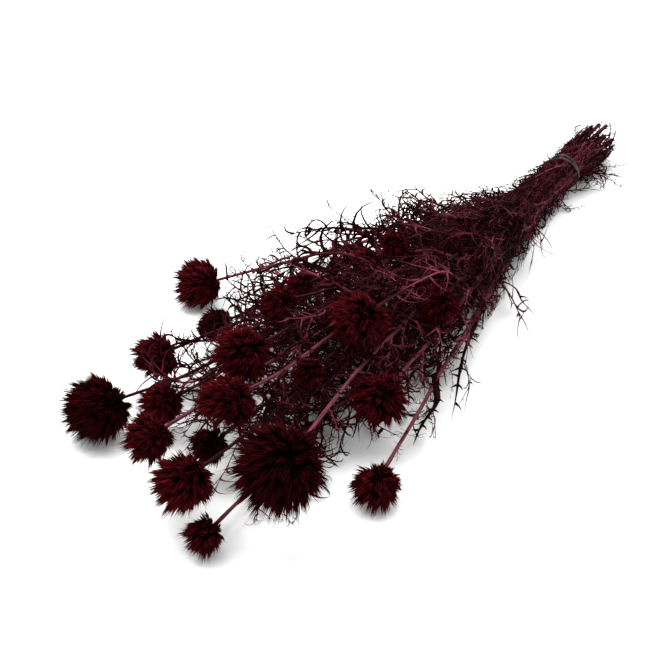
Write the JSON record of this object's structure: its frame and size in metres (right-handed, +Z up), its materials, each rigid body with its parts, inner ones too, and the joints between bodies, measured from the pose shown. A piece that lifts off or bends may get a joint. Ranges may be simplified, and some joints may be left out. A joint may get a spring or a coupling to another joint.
{
  "type": "tied bunch of dried thistle flower heads",
  "caption": "Bunch of dried, dyed globe thistles: round spiky flower heads on long thin stems with spiny leaves, held by a rubber band near the cut ends, lying down.",
  "frame": {"origin": "on the table, under the middle of the bunch's bounding box", "axes": "+Z up, +X along the bunch from the cut stem ends towards the flower heads"},
  "size_m": [0.6744, 0.2822, 0.1058],
  "materials": {
    "flower_head": "matte, very dark red dyed dried florets, near black between the spikes",
    "stem": "matte, dusty red-brown dyed dried stem",
    "leaf": "matte, dark maroon dyed dried leaf, dusty along the ribs",
    "rubber_band": "dull greenish grey"
  },
  "bodies": {
    "root": {"rubber_band": "rubber_band", "stem_01": "stem", "stem_02": "stem", "stem_03": "stem", "stem_04": "stem", "stem_05": "stem", "stem_06": "stem", "stem_07": "stem", "stem_08": "stem", "stem_09": "stem", "stem_10": "stem", "stem_11": "stem", "stem_12": "stem", "stem_13": "stem", "stem_14": "stem", "stem_15": "stem", "stem_16": "stem", "stem_17": "stem", "stem_18": "stem", "stem_19": "stem", "stem_20": "stem", "stem_21": "stem", "flower_head_01": "flower_head", "flower_head_02": "flower_head", "flower_head_03": "flower_head", "flower_head_04": "flower_head", "flower_head_05": "flower_head", "flower_head_06": "flower_head", "flower_head_07": "flower_head", "flower_head_08": "flower_head", "flower_head_09": "flower_head", "flower_head_10": "flower_head", "flower_head_11": "flower_head", "flower_head_12": "flower_head", "flower_head_13": "flower_head", "flower_head_14": "flower_head", "flower_head_15": "flower_head", "flower_head_16": "flower_head", "flower_head_17": "flower_head", "flower_head_18": "flower_head", "flower_head_19": "flower_head", "flower_head_20": "flower_head", "flower_head_21": "flower_head", "leaf_01": "leaf", "leaf_02": "leaf", "leaf_03": "leaf", "leaf_04": "leaf", "leaf_05": "leaf", "leaf_06": "leaf", "leaf_07": "leaf", "leaf_08": "leaf", "leaf_09": "leaf", "leaf_10": "leaf", "leaf_11": "leaf", "leaf_12": "leaf", "leaf_13": "leaf", "leaf_14": "leaf", "leaf_15": "leaf", "leaf_16": "leaf", "leaf_17": "leaf"}
  },
  "joints": []
}
